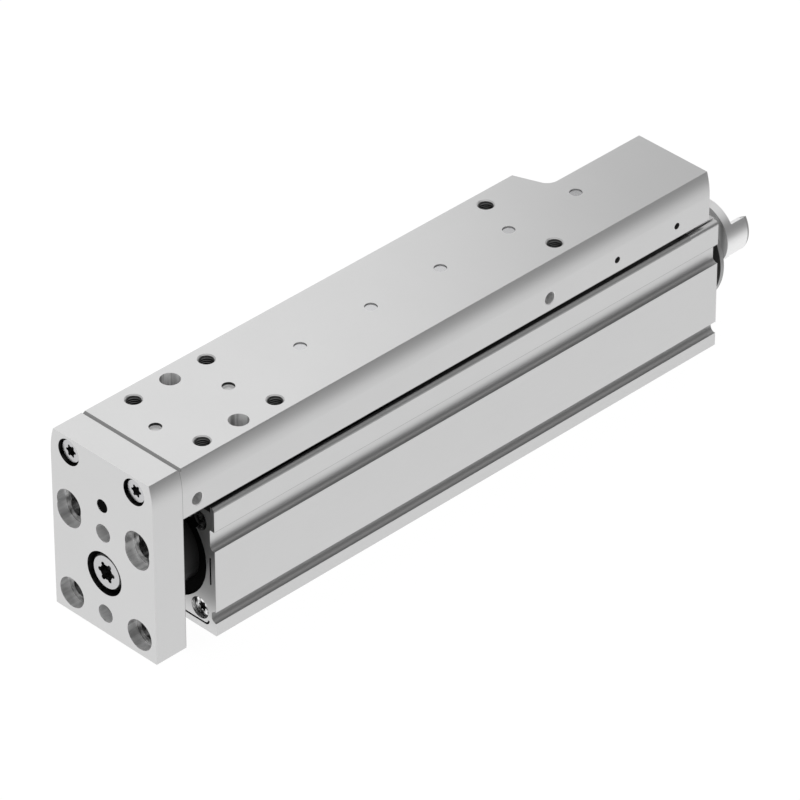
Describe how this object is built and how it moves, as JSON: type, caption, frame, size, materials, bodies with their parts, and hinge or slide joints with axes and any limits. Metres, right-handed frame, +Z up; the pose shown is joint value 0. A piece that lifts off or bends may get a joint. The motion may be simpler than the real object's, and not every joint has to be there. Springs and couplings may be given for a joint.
{
  "type": "electric mini slide",
  "caption": "Compact electric slide: a yoke plate and a long carriage bar ride on a ball guide above a slotted housing and are moved by a ball screw with a jaw coupling.",
  "frame": {"origin": "centre of the overall box in X and Y, on the housing's base face", "axes": "+Y runs from the yoke plate to the drive end, +Z is up from the base face to the slide, +X is the width"},
  "size_m": [0.0446, 0.272, 0.0677],
  "materials": {
    "housing_aluminium": "satin anodised extrusion",
    "slide_aluminium": "satin anodised",
    "hub_aluminium": "turned",
    "screw_steel": "plain zinc plated",
    "rod_steel": "ground",
    "bearing_steel": "hardened and ground",
    "guide_plastic": "moulded",
    "seal_rubber": "moulded",
    "magnet_ferrite": "plastic bonded magnet"
  },
  "bodies": {
    "housing": {"barrel_profile": "housing_aluminium", "front_cap": "housing_aluminium", "rear_bearing_cap": "housing_aluminium", "front_cap_screws": "screw_steel", "rear_cap_screws": "screw_steel", "rod_wiper": "seal_rubber", "rod_guide_bush": "guide_plastic", "end_buffers": "seal_rubber", "bearing_outer_rings": "bearing_steel", "bearing_retaining_ring": "screw_steel", "guide_carriage": "bearing_steel", "carriage_end_caps": "guide_plastic", "carriage_screws": "screw_steel", "guide_balls": "bearing_steel"},
    "slide": {"slide_bar": "slide_aluminium", "yoke_plate": "slide_aluminium", "plate_screws": "screw_steel", "grease_port_plug": "seal_rubber", "rod_screw": "screw_steel", "piston_rod": "rod_steel", "piston_head": "slide_aluminium", "piston_guide_ring": "guide_plastic", "magnet_ring": "magnet_ferrite", "spindle_nut": "bearing_steel", "guide_rail": "bearing_steel", "rail_screws": "screw_steel"},
    "spindle_assembly": {"spindle": "rod_steel", "spindle_support_bush": "guide_plastic", "bearing_inner_rings": "bearing_steel", "bearing_balls": "bearing_steel", "bearing_lock_nut": "screw_steel", "coupling_hub": "hub_aluminium"}
  },
  "joints": [
    {"name": "slide_travel", "type": "slide", "parent": "housing", "child": "slide", "axis": [0, -1, 0], "range_m": [0, 0.125]},
    {"name": "spindle_turn", "type": "hinge", "parent": "housing", "child": "spindle_assembly", "pos_m": [0, 0.1, 0.0248], "axis": [0, 1, 0], "range_deg": [0, 4500]}
  ],
  "couplings": [
    {"joint": "spindle_turn", "follows": "slide_travel", "rad_per_m": 628.32}
  ]
}
